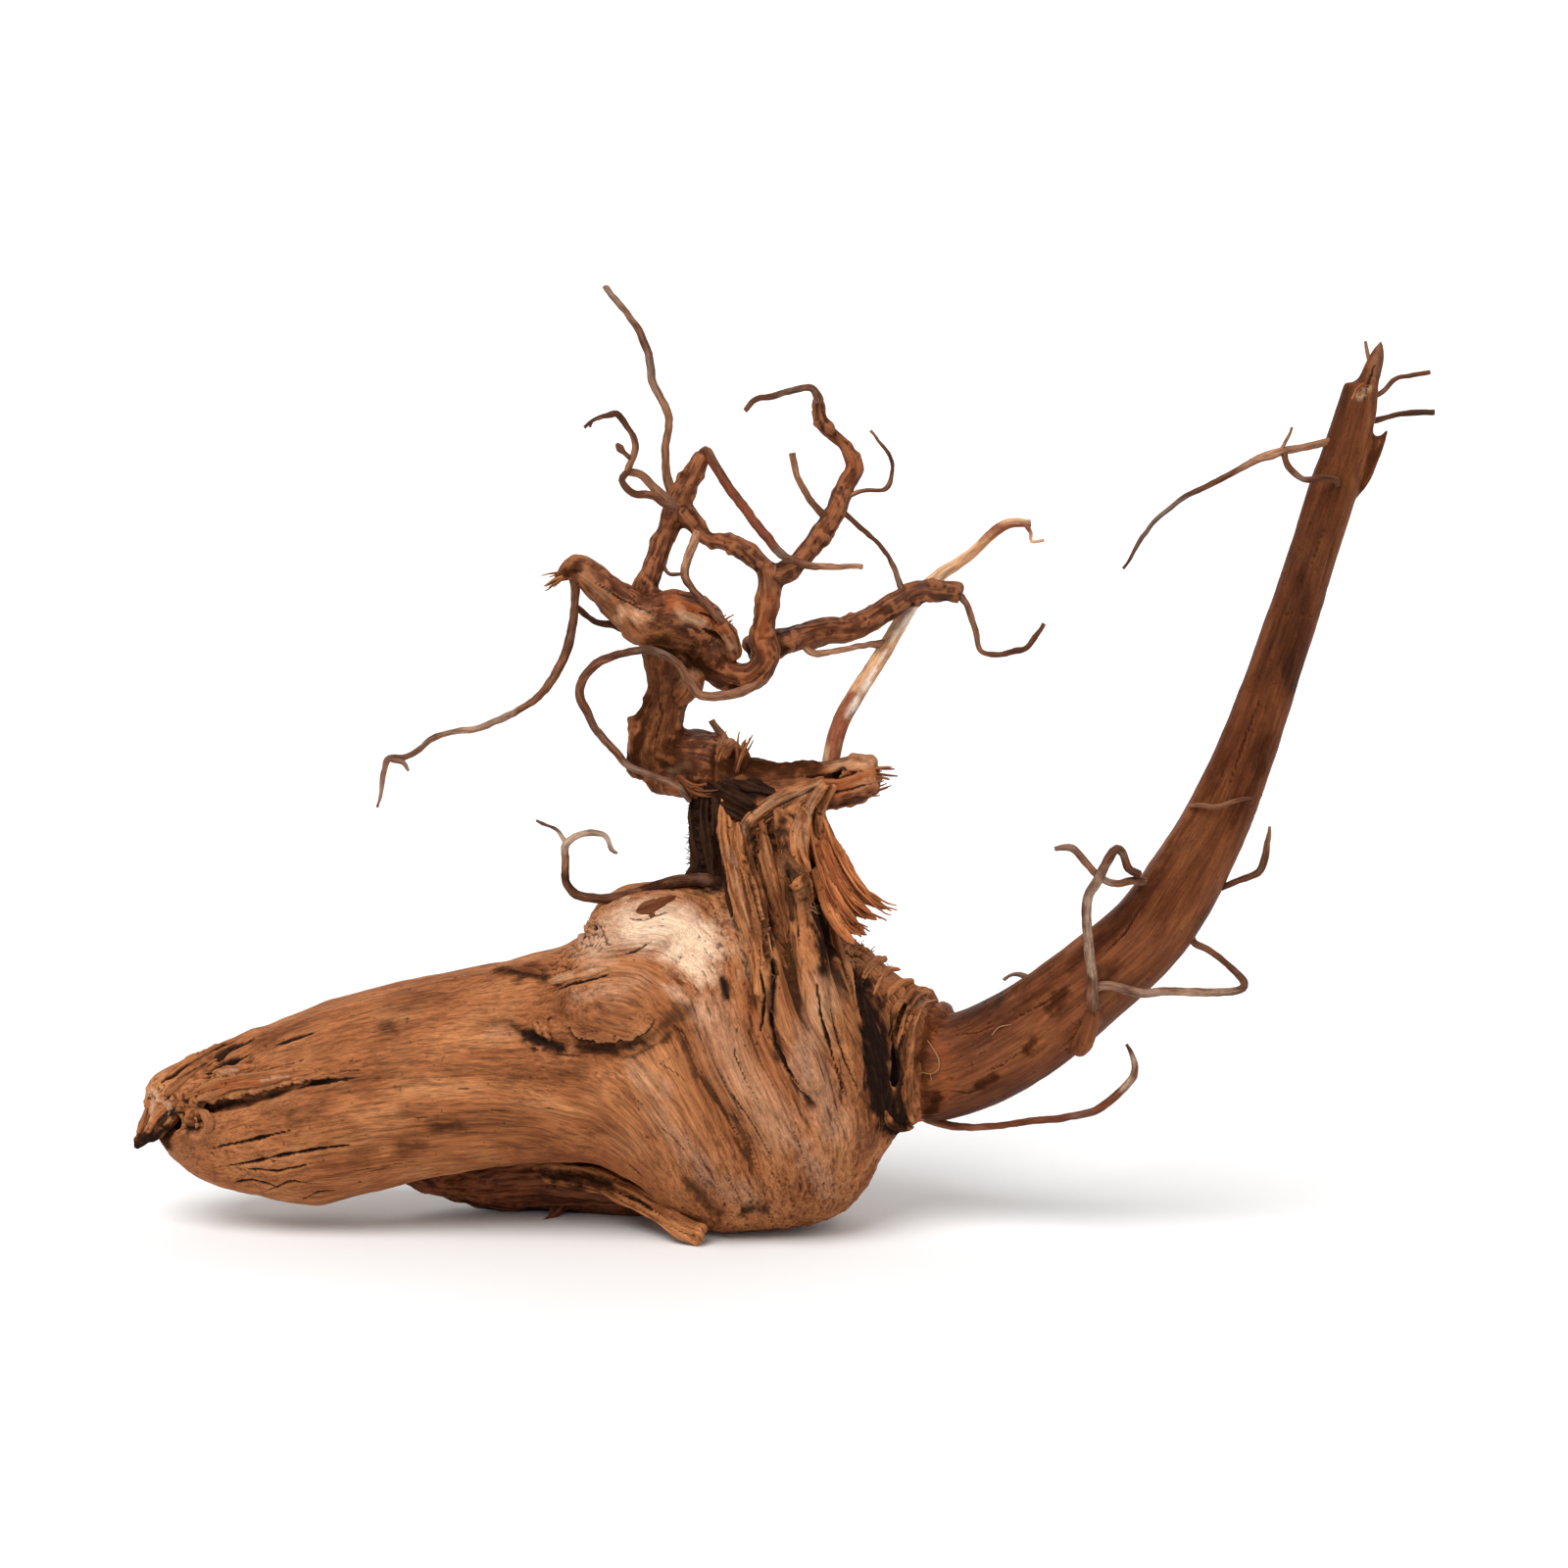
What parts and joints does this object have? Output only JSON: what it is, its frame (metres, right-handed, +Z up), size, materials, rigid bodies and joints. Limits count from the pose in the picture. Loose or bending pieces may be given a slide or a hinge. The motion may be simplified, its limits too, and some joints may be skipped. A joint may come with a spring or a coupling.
{
  "type": "bogwood root",
  "caption": "Weathered branching driftwood root for an aquarium or terrarium: a muzzle-shaped stump with a crown of crooked twigs and a horn-shaped branch.",
  "frame": {"origin": "on the ground, in the middle of the small flat spot under the heel of the stump", "axes": "+X from the muzzle towards the horn-shaped branch, +Y away from the front face that the picture shows, +Z up"},
  "size_m": [0.3308, 0.0704, 0.2414],
  "materials": {
    "bogwood": "dry, weathered, matt, with dark stains and pale worn patches"
  },
  "bodies": {
    "root": {"bogwood": "bogwood"}
  },
  "joints": []
}
